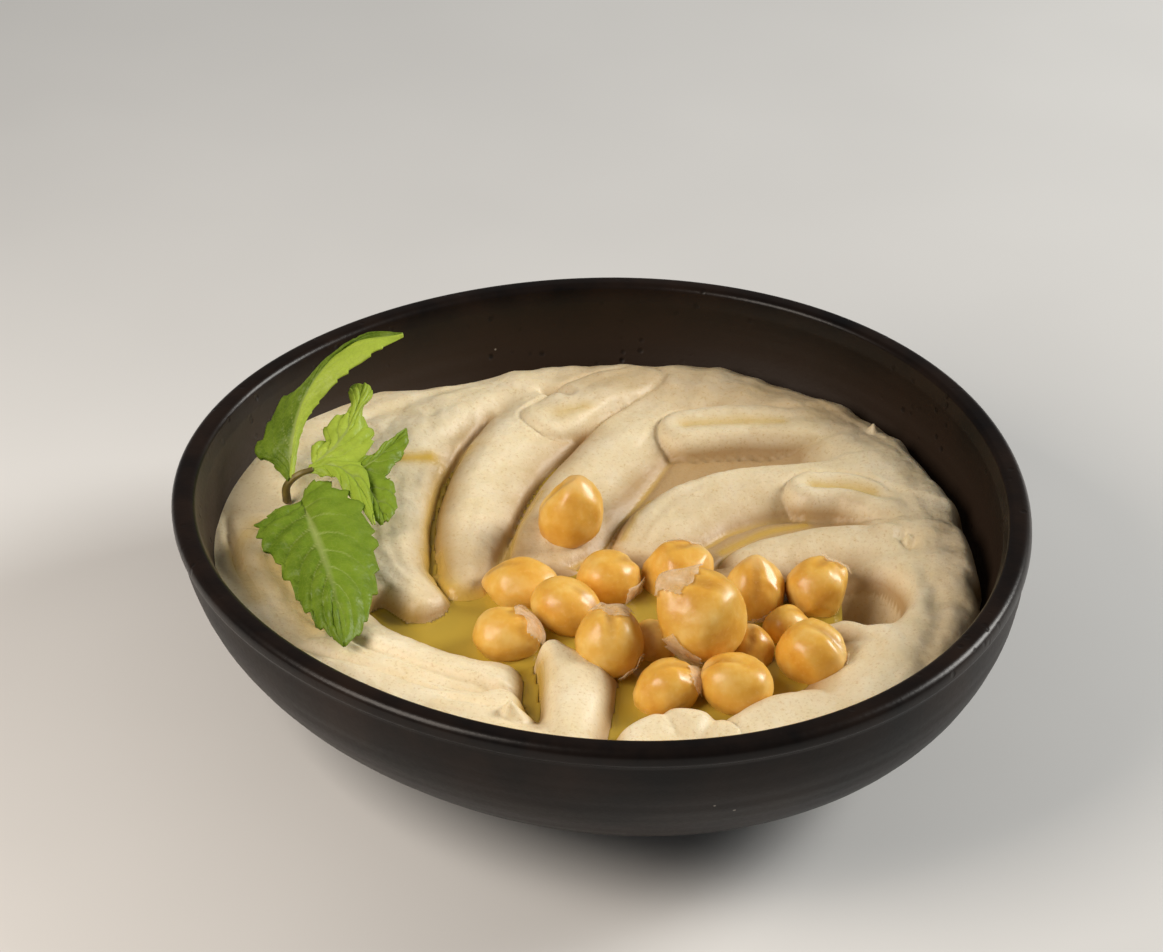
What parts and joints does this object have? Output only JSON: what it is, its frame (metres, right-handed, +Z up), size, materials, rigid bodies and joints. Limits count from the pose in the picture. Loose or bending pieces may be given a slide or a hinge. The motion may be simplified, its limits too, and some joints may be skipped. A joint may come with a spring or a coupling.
{
  "type": "hummus in a bowl",
  "caption": "Swirled hummus in a round black stoneware bowl, with chickpeas in a pool of olive oil and a sprig of mint at one side.",
  "frame": {"origin": "on the table under the middle of the bowl's mouth, at the plane the foot stands on", "axes": "+Z up out of the bowl, -Y towards the person eating, +X to that person's right, so the mint is at -X"},
  "size_m": [0.1602, 0.16, 0.057],
  "materials": {
    "stoneware": "satin",
    "hummus": "matte",
    "oil": "gloss",
    "chickpea": "satin",
    "mint_leaf": "satin",
    "mint_stem": "matte"
  },
  "bodies": {
    "root": {"bowl": "stoneware", "hummus": "hummus", "olive_oil": "oil", "chickpea_01": "chickpea", "chickpea_02": "chickpea", "chickpea_03": "chickpea", "chickpea_04": "chickpea", "chickpea_05": "chickpea", "chickpea_06": "chickpea", "chickpea_07": "chickpea", "chickpea_08": "chickpea", "chickpea_09": "chickpea", "chickpea_10": "chickpea", "chickpea_11": "chickpea", "chickpea_12": "chickpea", "chickpea_13": "chickpea", "chickpea_14": "chickpea", "chickpea_15": "chickpea", "chickpea_16": "chickpea", "mint_leaf_front": "mint_leaf", "mint_leaf_back": "mint_leaf", "mint_leaf_middle": "mint_leaf", "mint_leaf_right": "mint_leaf", "mint_stem": "mint_stem"}
  },
  "joints": []
}
